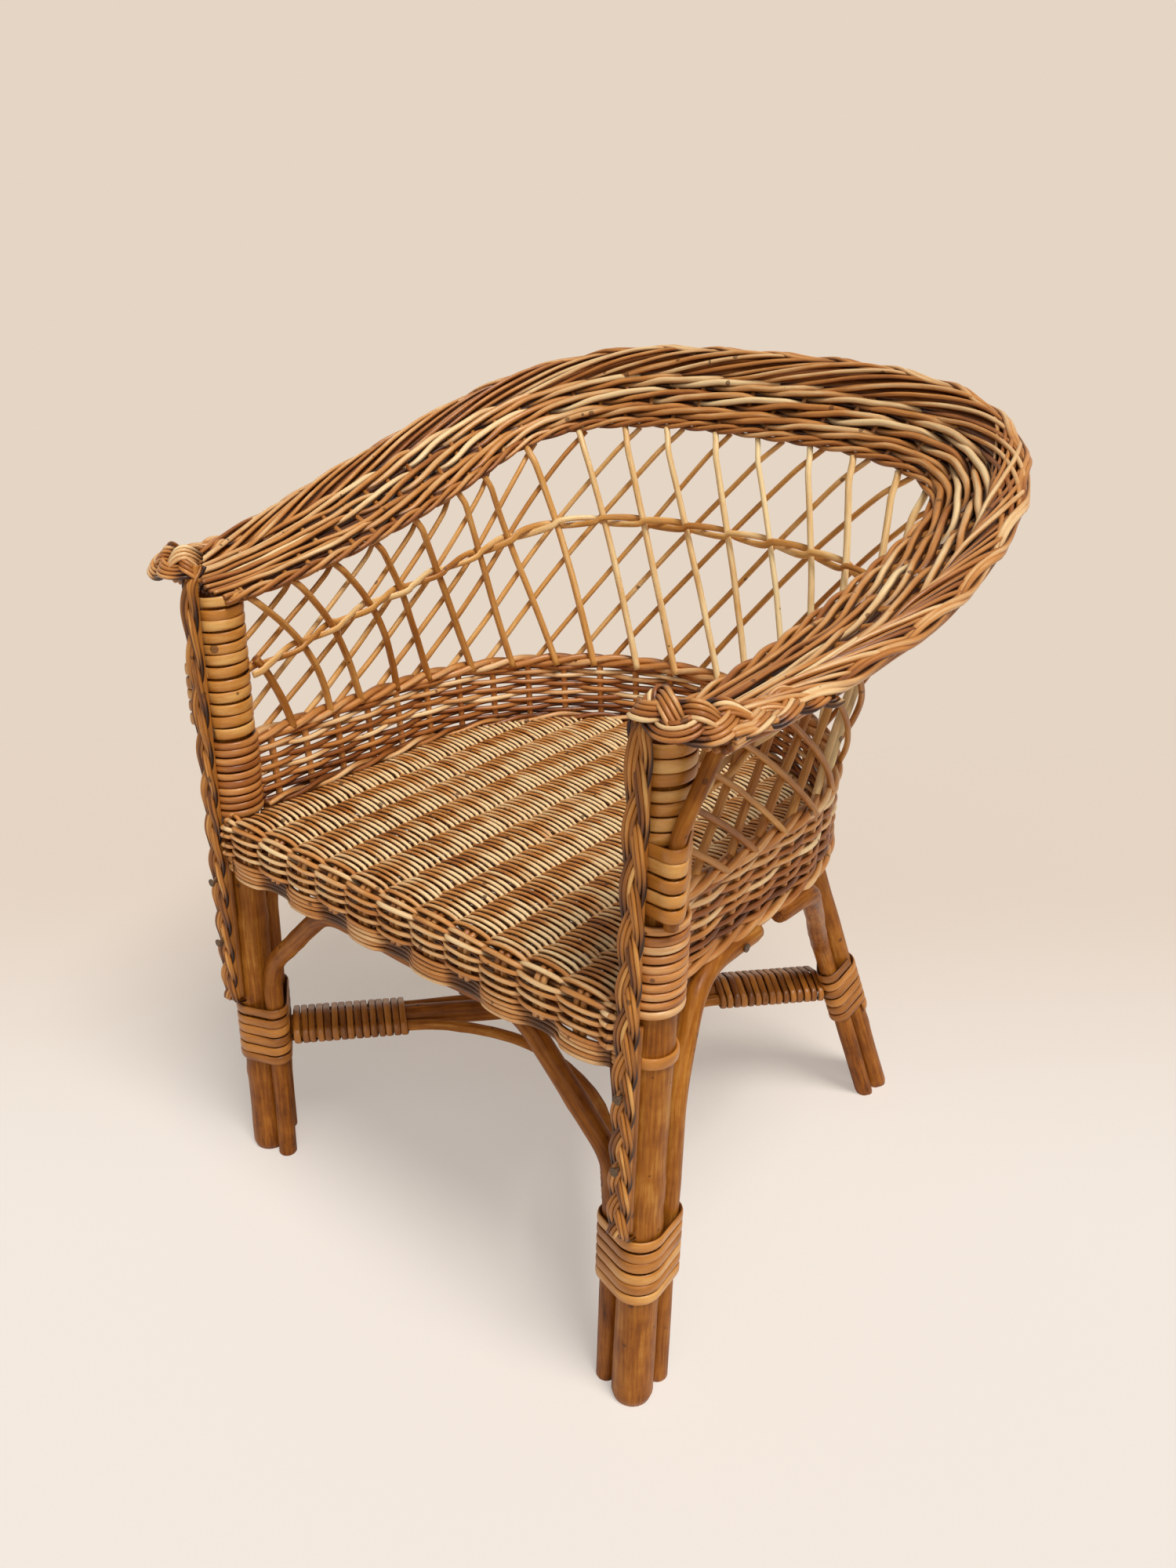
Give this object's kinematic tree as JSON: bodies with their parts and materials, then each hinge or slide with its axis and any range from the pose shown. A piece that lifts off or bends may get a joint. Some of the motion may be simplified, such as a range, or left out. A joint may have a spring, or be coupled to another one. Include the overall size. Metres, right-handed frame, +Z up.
{
  "type": "child wicker armchair",
  "caption": "Small tub chair of varnished willow: woven seat with rolled apron, lattice back, wide woven rim for arms and back, and bound pole legs with a crossed stretcher.",
  "frame": {"origin": "on the floor under the middle of the chair's box", "axes": "+Z up, -Y the way the sitter faces, +X the viewer's right from the front"},
  "size_m": [0.4786, 0.3962, 0.5449],
  "materials": {
    "pole": "varnished peeled willow pole",
    "skein": "varnished split willow skein",
    "weave": "varnished willow rods, woven",
    "lattice": "varnished willow rods",
    "nail": "dull dark nail heads"
  },
  "bodies": {
    "root": {"front_arch": "pole", "front_bow": "pole", "front_left_leg_binding": "skein", "front_left_lower_wrap": "skein", "front_left_post": "pole", "front_left_stretcher_wrap": "skein", "front_left_upper_wrap": "skein", "front_left_wall_weavers": "weave", "front_right_leg_binding": "skein", "front_right_lower_wrap": "skein", "front_right_post": "pole", "front_right_stretcher_wrap": "skein", "front_right_upper_wrap": "skein", "front_right_wall_weavers": "weave", "inner_lattice_rods": "lattice", "lattice_row": "lattice", "left_arm_stick": "pole", "left_bow": "pole", "left_front_side_brace": "pole", "left_post_plait": "weave", "left_rail_strap": "skein", "left_rear_side_brace": "pole", "left_stretcher_pole": "pole", "nails": "nail", "outer_lattice_rods": "lattice", "rear_arch": "pole", "rear_bow": "pole", "rear_left_leg": "pole", "rear_left_leg_binding": "skein", "rear_left_stretcher_wrap": "skein", "rear_right_leg": "pole", "rear_right_leg_binding": "skein", "rear_right_stretcher_wrap": "skein", "right_arm_stick": "pole", "right_bow": "pole", "right_front_side_brace": "pole", "right_post_plait": "weave", "right_rail_strap": "skein", "right_rear_side_brace": "pole", "right_stretcher_pole": "pole", "rim_border": "weave", "rim_weave": "weave", "seat_front_rail": "pole", "seat_hoop": "pole", "woven_seat": "weave", "woven_wall": "weave"}
  },
  "joints": []
}
